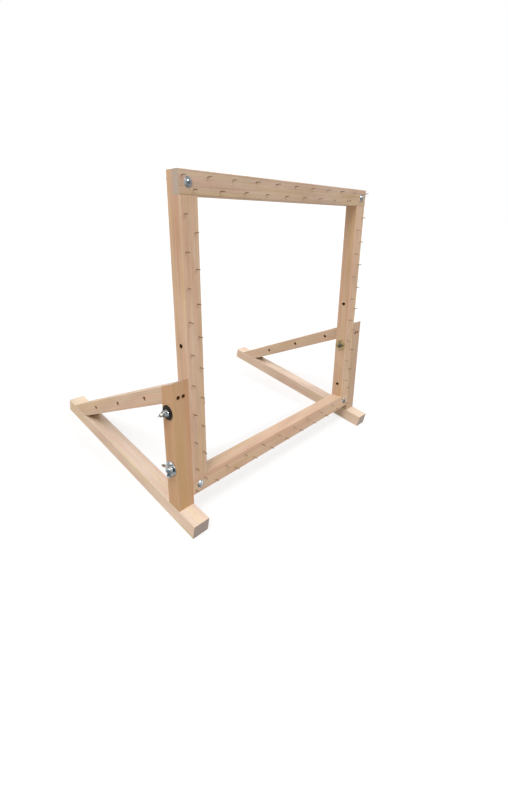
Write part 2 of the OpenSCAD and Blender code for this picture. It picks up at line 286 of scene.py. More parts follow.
def planed_beech(name, centre, along, width_way, seed, wood, sawn, wall_scorch_and_shade):
    """Planed and sanded beech without varnish: a dull pale wood with faint year rings, fine dark flecks
    along the grain, and duller, darker end grain. The pattern is solid: the rings lie round a pith beside
    the bar, so that every face and end shows the cut that it would have. It is laid out in mm in the bar's
    own axes, which come from its centre, its grain and the way of its width. wood and sawn are the tones of
    the faces and of the ends from dark to pale, and the last tone is that of the holes' walls: the drill's
    scorch darkened further with painted shade of the holes' depth."""
    material, tree, shader = new_finish(name)
    grain = Vector(along).normalized()
    wide = Vector(width_way).normalized()
    axes = Matrix((wide, grain.cross(wide), grain)).transposed()
    rng = np.random.default_rng(seed)
    seen = add(tree, "TexCoord").outputs
    own = add(tree, "Mapping", {"Vector": seen["Object"], "Location": [c * MM for c in centre],
                                "Rotation": axes.to_euler(), "Scale": (MM, MM, MM)},
              vector_type="TEXTURE").outputs["Vector"]
    # Each bar shows another place of the patterns
    shift = (*rng.uniform(-400, 400, 2), rng.uniform(-4000, 4000))
    shifted = add(tree, "VectorMath", {0: own, 1: shift}, operation="ADD").outputs["Vector"]
    pith = rng.choice([-1, 1]) * rng.uniform(25, 60), rng.choice([-1, 1]) * rng.uniform(45, 90)
    rings = year_rings(tree, own, shifted, pith)
    # Fibre streaks about 2 mm wide and 150 mm long
    drawn_out = add(tree, "VectorMath", {0: shifted, 1: (1, 1, 0.014)}, operation="MULTIPLY")
    streaks = add(tree, "TexNoise", {"Vector": drawn_out.outputs["Vector"], "Scale": 0.42, "Detail": 4.0,
                                     "Roughness": 0.6}).outputs["Fac"]
    marks = fleck_marks(tree, shifted)
    faint = add(tree, "Math", {0: marks, 1: 0.3}, operation="MULTIPLY").outputs["Value"]
    flecked = add(tree, "Mix", {"Factor": faint, "A": face_tone(tree, shifted, streaks, rings, wood),
                                "B": colour("#9a6f4e")}, data_type="RGBA").outputs["Result"]
    worn = edge_wear(tree, own)
    rubbed = add(tree, "Math", {0: worn, 1: 0.1}, operation="MULTIPLY").outputs["Value"]
    smooth = add(tree, "Mix", {"Factor": rubbed, "A": flecked, "B": colour("#e2cfba")}, data_type="RGBA")
    # End grain shows where a face looks along the bar
    facing = add(tree, "VectorMath", {0: seen["Normal"], 1: grain}, operation="DOT_PRODUCT").outputs["Value"]
    endwise = add(tree, "Math", {0: facing}, operation="ABSOLUTE").outputs["Value"]
    across_grain = add(tree, "MapRange", {"Value": endwise, "From Min": 0.55, "From Max": 0.9},
                       interpolation_type="SMOOTHSTEP").outputs["Result"]
    cut = add(tree, "Mix", {"Factor": across_grain, "A": smooth.outputs["Result"],
                            "B": end_tone(tree, own, rings, sawn)}, data_type="RGBA")
    # The drill scorches and roughens the walls of the holes, and painted shade of their depth darkens them
    # further
    wall = add(tree, "Attribute", attribute_name="wall_scorch_and_shade").outputs["Fac"]
    base = add(tree, "Mix", {"Factor": wall, "A": cut.outputs["Result"], "B": colour(wall_scorch_and_shade)},
               data_type="RGBA")
    tree.links.new(base.outputs["Result"], shader.inputs["Base Color"])
    dull = add(tree, "MapRange", {"Value": streaks, "From Min": 0.3, "From Max": 0.7, "To Min": 0.5,
                                  "To Max": 0.68})
    rough = add(tree, "Math", {0: worn, 1: -0.1, 2: dull.outputs["Result"]}, operation="MULTIPLY_ADD")
    tree.links.new(rough.outputs["Value"], shader.inputs["Roughness"])
    shader.inputs["Specular IOR Level"].default_value = 0.35
    height = add(tree, "Math", {0: marks, 1: -0.6, 2: streaks}, operation="MULTIPLY_ADD").outputs["Value"]
    bump = add(tree, "Bump", {"Height": height, "Strength": 0.22, "Distance": 0.0003}).outputs["Normal"]
    tree.links.new(bump, shader.inputs["Normal"])
    return material


def plated_steel(name, tones, gloss, cloud_mm, pits=0.0):
    """Steel with a thin plating: full metal whose tone and roughness are clouded by noise of cloud_mm, as
    passivated zinc and drawn wire are; where the tones lie far apart, the clouds are also painted
    reflections.
    Pits of a tenth of a millimetre roughen cast pieces."""
    material, tree, shader = new_finish(name)
    place = add(tree, "TexCoord").outputs["Object"]
    clouds = add(tree, "TexNoise", {"Vector": place, "Scale": 1 / (cloud_mm * MM), "Detail": 2.0,
                                    "Roughness": 0.5}).outputs["Fac"]
    tone = add(tree, "ValToRGB", {"Fac": clouds}, [(0.33 + 0.34 * i / (len(tones) - 1), code)
                                                   for i, code in enumerate(tones)])
    tree.links.new(tone.outputs["Color"], shader.inputs["Base Color"])
    rough = add(tree, "MapRange", {"Value": clouds, "From Min": 0.3, "From Max": 0.7, "To Min": gloss[0],
                                   "To Max": gloss[1]})
    tree.links.new(rough.outputs["Result"], shader.inputs["Roughness"])
    shader.inputs["Metallic"].default_value = 1.0
    if pits:
        # Pits are 0.1 mm in the metal, and drawn 0.6 mm wide so that they show
        fine = add(tree, "TexNoise", {"Vector": place, "Scale": 1 / (0.6 * MM),
                                      "Detail": 2.0}).outputs["Fac"]
        bump = add(tree, "Bump", {"Height": fine, "Strength": pits, "Distance": 0.0001}).outputs["Normal"]
        tree.links.new(bump, shader.inputs["Normal"])
    return material


def moulded_rubber(name):
    """Moulded black rubber of the discs: nearly black, dull, with a fine grain."""
    material, tree, shader = new_finish(name)
    place = add(tree, "TexCoord").outputs["Object"]
    grain = add(tree, "TexNoise", {"Vector": place, "Scale": 1 / (1.1 * MM), "Detail": 2.0}).outputs["Fac"]
    tone = add(tree, "ValToRGB", {"Fac": grain}, [(0.35, "#0e0b09"), (0.65, "#1d1712")])
    tree.links.new(tone.outputs["Color"], shader.inputs["Base Color"])
    rough = add(tree, "MapRange", {"Value": grain, "From Min": 0.3, "From Max": 0.7, "To Min": 0.5,
                                   "To Max": 0.7})
    tree.links.new(rough.outputs["Result"], shader.inputs["Roughness"])
    shader.inputs["Specular IOR Level"].default_value = 0.2
    bump = add(tree, "Bump", {"Height": grain, "Strength": 0.3, "Distance": 0.0001}).outputs["Normal"]
    tree.links.new(bump, shader.inputs["Normal"])
    return material


# Shapes: points are in mm, in a piece's own axes, until they are placed


def grid_faces(rows, columns, closed):
    """Quads between the rows of a grid of points; closed also joins the last column to the first."""
    r, c = np.meshgrid(np.arange(rows - 1), np.arange(columns if closed else columns - 1), indexing="ij")
    n = (c + 1) % columns
    return np.stack([r * columns + c, r * columns + n, (r + 1) * columns + n, (r + 1) * columns + c],
                    -1).reshape(-1, 4)


def round_skin(radius, height, sides):
    """A surface round Z: each row's points lie at equal angles, at the row's radius and height, which may
    also change with the angle along the row."""
    radius, height = np.asarray(radius, float), np.asarray(height, float)
    rows = len(radius)
    radius = np.broadcast_to(radius.reshape(rows, -1), (rows, sides))
    height = np.broadcast_to(height.reshape(rows, -1), (rows, sides))
    angle = np.arange(sides) * 2 * math.pi / sides
    points = np.stack([radius * np.cos(angle), radius * np.sin(angle), height], -1).reshape(-1, 3)
    return points, grid_faces(rows, sides, True)


def turned(profile, sides):
    """A surface of revolution: the profile's points (radius, height) are carried round Z in equal steps."""
    profile = np.asarray(profile, float)
    return round_skin(profile[:, 0], profile[:, 1], sides)


def placed(shell, origin, x_way, y_way, z_way):
    """A shell of points and faces moved from its own axes to a point and directions of the part."""
    points, faces = shell
    return np.asarray(origin) + points @ np.array([x_way, y_way, z_way]), faces


def mesh_from(name, shells, smooth_angle=35, scale=MM):
    """One mesh from shells of (points, faces): doubled poles are merged, and faces point outwards."""
    mesh = bpy.data.meshes.new(name)
    starts = np.cumsum([0] + [len(points) for points, _ in shells])
    all_points = np.concatenate([points for points, _ in shells]) * scale
    all_faces = np.concatenate([faces + start for (_, faces), start in zip(shells, starts)])
    mesh.from_pydata(all_points.tolist(), [], all_faces.tolist())
    shape = bmesh.new()
    shape.from_mesh(mesh)
    bmesh.ops.remove_doubles(shape, verts=shape.verts, dist=2e-3 * scale)
    bmesh.ops.dissolve_degenerate(shape, edges=shape.edges, dist=1e-3 * scale)
    bmesh.ops.recalc_face_normals(shape, faces=shape.faces)
    shape.to_mesh(mesh)
    shape.free()
    mesh.polygons.foreach_set("use_smooth", np.ones(len(mesh.polygons), bool))
    mesh.set_sharp_from_angle(angle=math.radians(smooth_angle))
    return mesh


def fused(shells, voxel, softening):
    """One skin over shells that cross, with soft roots where they meet: the space they fill is cut into
    cubes of voxel mm, the cubes' skin is taken, and each point moves towards its neighbours a number of
    times."""
    mesh = mesh_from("unfused", shells, scale=1.0)
    blank = bpy.data.objects.new("unfused", mesh)
    bpy.context.scene.collection.objects.link(blank)
    skin = blank.modifiers.new("one_skin", "REMESH")
    skin.mode = "VOXEL"
    skin.voxel_size = voxel
    soft = blank.modifiers.new("soft_roots", "SMOOTH")
    soft.factor = 0.5
    soft.iterations = softening
    done = bpy.data.meshes.new_from_object(blank.evaluated_get(bpy.context.evaluated_depsgraph_get()))
    points = np.empty(len(done.vertices) * 3)
    done.vertices.foreach_get("co", points)
    corners = np.empty(len(done.loops), int)
    done.loops.foreach_get("vertex_index", corners)
    bpy.data.objects.remove(blank)
    for spare in (mesh, done):
        bpy.data.meshes.remove(spare)
    return points.reshape(-1, 3), corners.reshape(-1, 4)


def wing(span, bolt_d, side):
    """One wing of a wing nut, in the XZ plane: a flat oval section carried along a bent path from the boss
    to the tip of the ear. Half its width is the ear's circle near the tip, and a waist that widens to the
    root; half its thickness grows to the root, and rounds off to nothing at the tip."""
    rows, sides = 60, 32
    boss_h, ear_r = BOSS_HIGH * bolt_d, EAR_R * span
    ear = np.array([span / 2 - ear_r, EAR_HIGH * span])
    knee = np.array([0.62 * bolt_d, 0.4 * boss_h])
    out = (ear - knee) / np.linalg.norm(ear - knee)
    start = np.array([0.15 * bolt_d, 0.5 * boss_h])
    u = np.linspace(0, 1, rows)[:, None] ** 0.6
    path = (1 - u) ** 2 * start + 2 * u * (1 - u) * knee + u ** 2 * (ear + ear_r * out)
    step = np.diff(path, axis=0)
    ahead = np.concatenate([step, step[-1:]])
    ahead /= np.linalg.norm(ahead, axis=1, keepdims=True)
    to_tip = np.append(np.cumsum(np.linalg.norm(step, axis=1)[::-1])[::-1], 0)
    circle = np.sqrt(np.clip(to_tip * (2 * ear_r - to_tip), 0, None))
    inward = np.clip((to_tip - ear_r) / (to_tip[0] - ear_r), 0, 1)
    waist = (0.84 * ear_r + (0.44 * boss_h - 0.84 * ear_r) * inward) * np.clip(to_tip / ear_r, 0, 1)
    half_width = (circle ** 6 + waist ** 6) ** (1 / 6)
    tip_round = (1 - (1 - np.clip(to_tip / (0.4 * ear_r), 0, 1)) ** 3) ** (1 / 3)
    half_thick = WING_THICK * bolt_d / 2 * (1 + 0.5 * inward) * tip_round
    half_width[0] = half_thick[0] = 0
    turn = np.arange(sides) * 2 * math.pi / sides
    wide = np.sign(np.cos(turn)) * np.abs(np.cos(turn)) ** 0.5
    thick = np.sign(np.sin(turn)) * np.abs(np.sin(turn)) ** 0.5
    x = path[:, :1] - ahead[:, 1:] * half_width[:, None] * wide
    z = path[:, 1:] + ahead[:, :1] * half_width[:, None] * wide
    y = half_thick[:, None] * thick
    return np.stack([side * x, y, z], -1).reshape(-1, 3), grid_faces(rows, sides, True)


def winged_head(span, bolt_d, hollow):
    """A cast wing nut on z = 0, or the head of a wing screw where it isn't hollow: two wings fused to a
    turned boss that tapers to the top."""
    edge, high, top_r = 0.07 * bolt_d, BOSS_HIGH * bolt_d, BOSS_TOP_R * bolt_d
    outside = [(bolt_d - edge, 0), (bolt_d, edge), (bolt_d, 2.5 * edge), (top_r, high - 2 * edge),
               (top_r - 0.4 * edge, high - 0.6 * edge), (top_r - 1.6 * edge, high)]
    bore = bolt_d / 2 + 0.35
    if hollow:
        profile = [(bore, edge), (bore + edge, 0), *outside, (bore + 0.8 * edge, high), (bore, high - edge),
                   (bore, edge)]
    else:
        profile = [(0, 0), *outside, (0, high + edge)]
    return fused([turned(profile, 64), wing(span, bolt_d, 1), wing(span, bolt_d, -1)], 0.04 * bolt_d, 7)


def threaded_rod(bolt_d, pitch, length, thread_from, thread_to, sides=24):
    """A rod from z = 0 up, with a screw thread between two heights. The thread's depth is a zigzag of the
    height in pitches less the angle in turns, and the far end has a chamfer."""
    cut = 0.6 * pitch
    z = np.concatenate([[0, 0], np.arange(thread_from, thread_to, pitch / 6), [thread_to, length]])
    z = np.append(z[z <= length - 0.02], [length, length])[:, None]
    turns = np.arange(sides) / sides
    tooth = 1 - np.abs(2 * ((z / pitch - turns) % 1) - 1)
    deep = cut * np.clip((z - thread_from) / pitch, 0, 1) * np.clip((thread_to - z) / pitch + 1, 0, 1)
    radius = np.minimum(bolt_d / 2 - deep * tooth, bolt_d / 2 - cut + np.clip(length - z, 0, None))
    radius[0] = radius[-1] = 0
    return round_skin(radius, z, sides)


def domed_head(head_d, head_h, sides=64):
    """A mushroom head on z = 0: a low dome over a rounded rim. Its height falls with the square of the
    radius."""
    r = np.linspace(0, head_d / 2 - 0.4, 9)
    rim_h = 0.7
    dome = np.stack([r, head_h - (head_h - rim_h) * (r / r[-1]) ** 2], 1)
    rim = [(head_d / 2 - 0.1, 0.55), (head_d / 2, 0.3), (head_d / 2 - 0.15, 0.05), (head_d / 2 - 0.4, 0),
           (0, 0)]
    return turned(np.concatenate([dome, rim]), sides)


def hexagon_head(across, high, sides=72):
    """A forged hexagon head on z = 0, dished on top: rows run from the middle of the dish over its rim and
    the turned chamfer to the six flats, and down to the underside. A flat's radius is half the width over
    the cosine of the angle from its middle, and the chamfer falls from the rim at 30 degrees."""
    angle = np.arange(sides) * 2 * math.pi / sides
    six = across / 2 / np.cos((angle + math.pi / 6) % (math.pi / 3) - math.pi / 6)
    inner = across / 2 * np.array([0, 0.55, 0.66, 0.72, 0.93])[:, None] + 0 * angle
    inner_z = high - np.array([0.85, 0.8, 0.35, 0.0, 0.0])[:, None] + 0 * angle
    fall = high - (six - across / 2 * 0.93) * math.tan(math.radians(30))
    radius = np.concatenate([inner, [six - 0.12, six, six, six - 0.15, 0 * six]])
    height = np.concatenate([inner_z, [fall + 0.05, fall - 0.1, 0.15 + 0 * six, 0 * six, 0 * six]])
    return round_skin(radius, height, sides)


def stamped_ring(outer_d, hole_d, thick, edge, sides=72):
    """A flat ring on z = 0 with rounded edges: the upper outer edge, where the punch drew the sheet down,
    is rounded most."""
    inner, outer = hole_d / 2, outer_d / 2
    bend = np.linspace(0, math.pi / 2, 5)
    over = np.stack([outer - edge + edge * np.cos(bend), thick - edge + edge * np.sin(bend)], 1)
    profile = np.concatenate([[(inner + 0.2 * edge, 0), (outer - 0.4 * edge, 0), (outer, 0.4 * edge)], over,
                              [(inner + 0.4 * edge, thick), (inner, thick - 0.4 * edge), (inner, 0.2 * edge),
                               (inner + 0.2 * edge, 0)]])
    return turned(profile, sides)


def cross_screw(length):
    """A countersunk wood screw whose flat head faces down at z = 0, with a cross recess. The recess is
    deepest in the middle. It is full depth where a point lies within 0.45 mm of either of two lines at
    right angles, and ends at 0.75 mm from them and at 2.6 mm from the middle."""
    head, shank = WOOD_HEAD_D / 2, WOOD_SCREW_D / 2
    sides = 64
    angle = np.arange(sides) * 2 * math.pi / sides
    r = np.array([0, 0.35, 0.75, 1.15, 1.55, 1.95, 2.35, 2.7, 3.2, 3.55, head - 0.1])[:, None]
    off_line = np.minimum(np.abs(r * np.sin(angle)), np.abs(r * np.cos(angle)))
    recess = np.clip((0.75 - off_line) / 0.3, 0, 1) * np.clip(2.6 - r, 0, 1)
    recess = recess * (1.9 - 0.35 * np.clip(r, 0, 2.4))
    rest = [(head, 0.25), (shank, WOOD_HEAD_H), (shank, length - 2 * shank), (0.25, length), (0, length)]
    radius = np.concatenate([r + 0 * angle, [p[0] + 0 * angle for p in rest]])
    height = np.concatenate([recess, [p[1] + 0 * angle for p in rest]])
    return round_skin(radius, height, sides)


def link(name, mesh, material, body, slot, *stands_for):
    """Puts a finished mesh in the scene: its material, its body and the nodes it stands for. Its material
    slot is not used."""
    mesh.materials.clear()
    mesh.materials.append(material)
    piece = bpy.data.objects.new(name, mesh)
    bpy.context.scene.collection.objects.link(piece)
    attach(piece, body)
    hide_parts(*stands_for)
    return piece


# Bars


def softened_bar(node, along, holes, long_edge=0.0, cut_edge=0.5):
    """A merged copy of a bar's solid whose sharp edges are rounded: long_edge mm on those along the grain,
    and cut_edge mm on the sawn ends, laps and holes. A face attribute is 1 on the walls of the holes, which
    are given as (point, axis, radius) in mm: there the wood takes its scorch and painted shade."""
    shape = bmesh.new()
    shape.from_mesh(nodes[node].data)
    bmesh.ops.remove_doubles(shape, verts=shape.verts, dist=1e-6)
    bmesh.ops.dissolve_limit(shape, angle_limit=math.radians(1), verts=shape.verts, edges=shape.edges)
    grain = Vector(along).normalized()

    def sharp(edge):
        return len(edge.link_faces) == 2 and edge.calc_face_angle(0) > math.radians(40)

    def runs_along(edge):
        return abs((edge.verts[1].co - edge.verts[0].co).normalized().dot(grain)) > 0.999

    if long_edge:
        edges = [e for e in shape.edges if sharp(e) and runs_along(e)]
        bmesh.ops.bevel(shape, geom=edges, offset=long_edge * MM, segments=3, profile=0.5, affect="EDGES",
                        clamp_overlap=True)
    edges = [e for e in shape.edges if sharp(e) and not runs_along(e)]
    bmesh.ops.bevel(shape, geom=edges, offset=cut_edge * MM, segments=2, profile=0.5, affect="EDGES",
                    clamp_overlap=True)
    mesh = bpy.data.meshes.new(node + "_wood")
    shape.to_mesh(mesh)
    shape.free()
    count = len(mesh.polygons)
    centres, normals = np.empty(count * 3), np.empty(count * 3)
    mesh.polygons.foreach_get("center", centres)
    mesh.polygons.foreach_get("normal", normals)
    centres, normals = centres.reshape(-1, 3) / MM, normals.reshape(-1, 3)
    wall = np.zeros(count)
    for point, axis, radius in holes:
        away = centres - point
        away -= np.outer(away @ axis, axis)
        wall[(np.linalg.norm(away, axis=1) < radius + 0.2) & (np.abs(normals @ axis) < 0.6)] = 1
    mesh.attributes.new("wall_scorch_and_shade", "FLOAT", "FACE").data.foreach_set("value", wall)
    mesh.polygons.foreach_set("use_smooth", np.ones(count, bool))
    mesh.set_sharp_from_angle(angle=math.radians(50))
    return mesh


def dress_bar(node, centre, along, width_way, seed, plank, holes, long_edge=0.0):
    """Replaces a bar's node by its softened copy, in beech of its own plank; the seed picks its place in
    the wood's patterns."""
    wood = planed_beech("planed_beech_" + node, centre, along, width_way, seed, **plank)
    piece = link(node + "_wood", softened_bar(node, along, holes, long_edge), wood, BODY, "beech", node)
    even = piece.modifiers.new("even_shading", "WEIGHTED_NORMAL")
    even.keep_sharp = True


def corner_hole(x, h):
    """Point, axis and radius of a corner bolt's hole, from the front to the back."""
    return leaned(x, 0, h), BACKWARD, CORNER_D / 2 + CORNER_PLAY


def across_hole(x, h):
    """Point, axis and radius of a hole across a post or an upright."""
    return leaned(x, BAR_T / 2, h), ACROSS, HOLE_D / 2


place_camera()

# Tones of the planks that the bars were cut from. The tones of the holes' walls are the drill's scorch
# darkened with painted shade, deepest in the posts
PALE_ENDS = ("#a69589", "#c8b9ad", "#dacec3")
DULL_ENDS = ("#a08f82", "#c0b0a4", "#d2c4b8")
GREY_ENDS = ("#8f827a", "#b0a29a", "#c4b8b0")
RAIL = {"wood": ("#b6987e", "#c9b19c", "#d6c0ac"), "sawn": PALE_ENDS, "wall_scorch_and_shade": "#5c3d22"}
POST = {"wood": ("#c1a084", "#d4b89f", "#dfc5ae"), "sawn": PALE_ENDS, "wall_scorch_and_shade": "#5c3d22"}
BRACE = {"wood": ("#c5aa92", "#d2bba5", "#dcc7b2"), "sawn": DULL_ENDS, "wall_scorch_and_shade": "#a57a52"}
FOOT = {"wood": ("#d0b9a5", "#deccba", "#e7d7c8"), "sawn": GREY_ENDS, "wall_scorch_and_shade": "#6f4a2c"}
LEFT_UPRIGHT = {"wood": ("#b5906c", "#c4a07c", "#cda987"), "sawn": DULL_ENDS, "wall_scorch_and_shade": "#94683f"}
RIGHT_UPRIGHT = {"wood": ("#b1947a", "#bfa48d", "#c9af98"), "sawn": DULL_ENDS, "wall_scorch_and_shade": "#94683f"}

LOW_CORNER_H = FRAME_GAP + BAR_W / 2
HIGH_CORNER_H = FRAME_TOP - BAR_W / 2
for node, h, seed, plank in (("top_rail", HIGH_CORNER_H, 3, RAIL), ("bottom_rail", LOW_CORNER_H, 4, POST)):
    dress_bar(node, leaned(0, BAR_T / 2, h), ACROSS, UPWARD, seed, plank,
              [corner_hole(-POST_X, h), corner_hole(POST_X, h)])
for side, name in ((-1, "left"), (1, "right")):
    post_x, stand_x = side * POST_X, side * STAND_X
    dress_bar(name + "_post", leaned(post_x, BAR_T / 2, FRAME_GAP + FRAME_H / 2), UPWARD, ACROSS, 12 + side,
              POST, [across_hole(post_x, h) for h in (HOLE_LOW, HOLE_HIGH, HOLE_FREE)]
              + [corner_hole(post_x, h) for h in (LOW_CORNER_H, HIGH_CORNER_H)])
    screw_x = [stand_x - SCREW_GAP / 2, stand_x + SCREW_GAP / 2]
    screw_y = [UPRIGHT_FOOT_Y, BRACE_FOOT[1]]
    dress_bar(name + "_foot", [stand_x, 0, BAR_T / 2], [0, 1, 0], ACROSS, 22 + side, FOOT,
              [(np.array([x, y, 0]), FLOORWARD, WOOD_HEAD_D / 2) for x in screw_x for y in screw_y])
    dress_bar(name + "_upright", leaned(stand_x, BAR_T / 2, UPRIGHT_MID), UPWARD, ACROSS, 32 + side,
              LEFT_UPRIGHT if side < 0 else RIGHT_UPRIGHT,
              [across_hole(stand_x, h) for h in (HOLE_LOW, HOLE_HIGH)]
              + [(leaned(x, 0, BRACE_MID_H), BACKWARD, WOOD_HEAD_D / 2) for x in screw_x], long_edge=1.3)
    root = BRACE_ROOT + ACROSS * stand_x
    dress_bar(name + "_brace", root + BRACE_WAY * BRACE_MID, BRACE_WAY, ACROSS, 42 + side, BRACE,
              [(root + BRACE_WAY * (BRACE_HOLE_START + k * HOLE_PITCH), ACROSS, HOLE_D / 2)
               for k in range(BRACE_HOLES)], long_edge=1.3)


# Nails


def nail_pin(base, rng):
    """One headless nail through a point of the front face, driven by hand: it leans by up to a few degrees
    and stands out up to two millimetres less. Its cut tip is rounded."""
    lean_x, lean_up = rng.normal(0, 0.05, 2)
    out = -BACKWARD + lean_x * ACROSS + lean_up * UPWARD
    out /= np.linalg.norm(out)
    x_way = np.cross(out, UPWARD)
    x_way /= np.linalg.norm(x_way)
    deep = NAIL_LEN - NAIL_OUT
    high = NAIL_OUT - 0.2 - abs(rng.normal(0, 0.8))
    r = NAIL_D / 2
    profile = [(0, -deep), (r, -deep + 1), (r, high - 0.35), (0.75 * r, high - 0.08), (0, high)]
    return placed(turned(profile, 12), base, x_way, np.cross(out, x_way), out)


def drive_nails(node, places, seed):
    """Replaces a bar's nails by pins at (x, h) places of the front face."""
    rng = np.random.default_rng(seed)
    pins = [nail_pin(leaned(x, 0, h), rng) for x, h in places]
    link(node + "_pins", mesh_from(node, pins), nail_steel, BODY, "nail_steel", node)


# Bare drawn wire: a grey that has dulled a little, warmed by a painted reflection of the wood round it
nail_steel = plated_steel("drawn_nail_wire", ["#8e7e6d", "#c4b7a6"], (0.3, 0.42), 3.0)
rail_outer = [NAIL_END, *range(NAIL_STEP, FRAME_W, NAIL_STEP), FRAME_W - NAIL_END]
rail_inner = range(NAIL_STEP // 2, FRAME_W, NAIL_STEP)
for name, edge_h, inward, seed in (("top", FRAME_TOP, -1, 5), ("bottom", FRAME_GAP, 1, 6)):
    outer_h, inner_h = edge_h + inward * NAIL_EDGE, edge_h + inward * (BAR_W - NAIL_EDGE)
    drive_nails(name + "_rail_nails",
                [(s - FRAME_W / 2, outer_h) for s in rail_outer]
                + [(s - FRAME_W / 2, inner_h) for s in rail_inner], seed)
for side, name in ((-1, "left"), (1, "right")):
    outer_x, inner_x = side * (FRAME_W / 2 - NAIL_EDGE), side * (POST_IN + NAIL_EDGE)
    drive_nails(name + "_post_nails",
                [(outer_x, FRAME_GAP + k * POST_NAIL_STEP) for k in range(1, 10)]
                + [(inner_x, FRAME_GAP + (k + 0.5) * POST_NAIL_STEP) for k in range(1, 9)], 8 + side)


# Fasteners

# Cast iron under bright zinc: broad soft clouds of dark and pale, partly the plating's own and partly painted
# reflections of a room, with a fine grain
cast_zinc = plated_steel("cast_zinc_plated_iron", ["#50585d", "#979ea2", "#dadddf"], (0.16, 0.3), 11.0,
                         pits=0.15)
# Pressed and stamped steel under bright zinc: smooth, with stronger darks and lights that are painted
# reflections of a room
bright_zinc = plated_steel("bright_zinc_plated_steel", ["#3f4549", "#868d91", "#cdd0d3"], (0.14, 0.26), 12.0)
# Zinc with a yellow film, on washers and inserts: dull, so that lights spread wide
yellow_zinc = plated_steel("dull_yellow_zinc_plate", ["#7d6c4e", "#a39069", "#bfab82"], (0.35, 0.5), 6.0)
# Clear film on the rolled bolts: a pale warm grey, glossier than their washers
pale_zinc = plated_steel("pale_passivated_bolt_steel", ["#5c5a52", "#a3a096", "#dbd8cc"], (0.2, 0.34), 8.0)
# The same bolts' forged heads: a darker, browner grey, which is painted shade on the heads
shaded_head_zinc = plated_steel("shade_darkened_bolt_heads", ["#3d3931", "#6e6759", "#a29a86"], (0.3, 0.42), 6.0)
# Phosphated wood screws: a dull brown that is nearly black
dark_steel = plated_steel("phosphated_screw_steel", ["#2f2924", "#4b4238"], (0.4, 0.55), 3.0)
rubber = moulded_rubber("moulded_black_rubber")


def fit_fixed(name, shells, material, slot, node, smooth_angle=35):
    """Joins the shells of fasteners that don't turn into one piece, in place of a node."""
    link(name, mesh_from(node, shells, smooth_angle), material, BODY, slot, node)


def fit_turning(node, shells):
    """A cast piece that turns, on the body of its own name and in place of its node."""
    link(node + "_cast", mesh_from(node, shells, smooth_angle=60), cast_zinc, node, "zinc_steel", node)


def corner_seat(x, h, turn=0, lift=0.0):
    """Origin and directions of a fastener at a corner, some mm off the back face: x along its wings, which
    are turned by an angle in degrees, and z backwards."""
    a = math.radians(turn)
    return (leaned(x, BAR_T + lift, h), math.cos(a) * ACROSS - math.sin(a) * UPWARD,
            -math.sin(a) * ACROSS - math.cos(a) * UPWARD, BACKWARD)


def stand_seat(side, out, h, turn=0):
    """Origin and directions of a fastener on a stand's hole, some mm out from the middle of the frame: x
    along its wings, which are turned by an angle in degrees, and z away from the frame."""
    a = math.radians(turn)
    along = -math.cos(a) * UPWARD + math.sin(a) * BACKWARD
    thick = math.sin(a) * UPWARD + math.cos(a) * BACKWARD
    return leaned(side * out, BAR_T / 2, h), along, side * thick, side * ACROSS


def faced_back(seat, lift=0.0):
    """A seat moved some mm along its z, and then turned to face the other way."""
    origin, x_way, y_way, z_way = seat
    return origin + lift * z_way, x_way, -y_way, -z_way


small_nut = winged_head(CORNER_SPAN, CORNER_D, True)
small_ring = stamped_ring(CORNER_WASHER_D, CORNER_D + 2 * CORNER_PLAY, CORNER_WASHER_T, 0.35, 48)
small_rod = threaded_rod(CORNER_D, CORNER_PITCH, CORNER_LEN, CORNER_THREAD_FROM, CORNER_LEN)
small_head = domed_head(CORNER_HEAD_D, CORNER_HEAD_H)
bolts, washers = [], []
# The last number is the angle at which the wings rest
for name, side, h, turn in (("top_left", -1, HIGH_CORNER_H, 40), ("top_right", 1, HIGH_CORNER_H, 70),
                            ("bottom_left", -1, LOW_CORNER_H, 5), ("bottom_right", 1, LOW_CORNER_H, 25)):
    x = side * POST_X
    seat = corner_seat(x, h, turn, CORNER_WASHER_T + SEAT_GAP)
    fit_turning(name + "_wing_nut", [placed(small_nut, *seat)])
    washers.append(placed(small_ring, *corner_seat(x, h)))
    # The threads start at other angles than the wings rest
    bolts.append(placed(small_rod, *corner_seat(x, h, 13 * turn, -BAR_T)))
    bolts.append(placed(small_head, leaned(x, 0, h), ACROSS, UPWARD, -BACKWARD))
fit_fixed("corner_mushroom_bolts", bolts, bright_zinc, "zinc_steel", "corner_bolts", 50)
fit_fixed("corner_flat_washers", washers, bright_zinc, "zinc_steel", "corner_washers")

